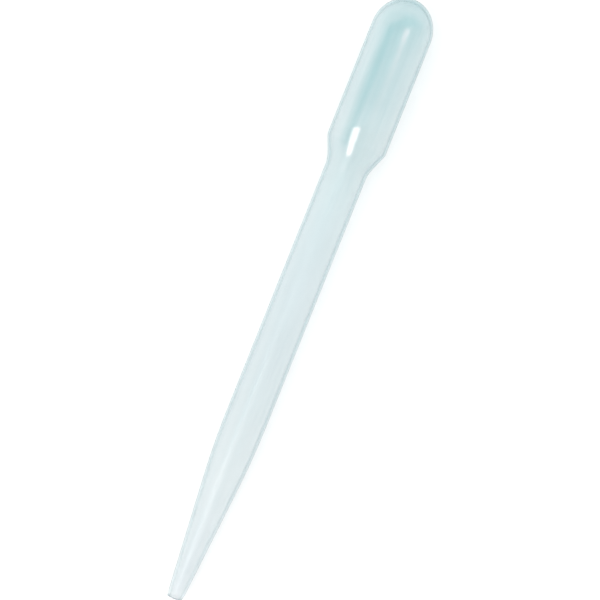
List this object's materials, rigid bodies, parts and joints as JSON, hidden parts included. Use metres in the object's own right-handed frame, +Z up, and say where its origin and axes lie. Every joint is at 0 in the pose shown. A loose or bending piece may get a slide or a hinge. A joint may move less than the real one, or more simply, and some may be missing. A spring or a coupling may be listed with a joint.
{
  "type": "dropper pipette",
  "caption": "Blow-moulded plastic dropper pipette: a squeeze bulb with a domed end, a soft shoulder, a straight barrel and a tapered stem with an open tip, lying on its side",
  "frame": {"origin": "on the table under the middle of the pipette's length, the pipette lying on its side", "axes": "+X along the pipette towards its bulb, +Z up; the axis of the pipette rises by 1.75 degrees from the tip to the bulb, because the bulb is the thickest part"},
  "size_m": [0.15, 0.0144, 0.015],
  "materials": {
    "polyethylene": "natural low-density polyethylene, milky and translucent with a faint blue-green cast and a soft waxy gloss"
  },
  "bodies": {
    "root": {"pipette": "polyethylene"}
  },
  "joints": []
}
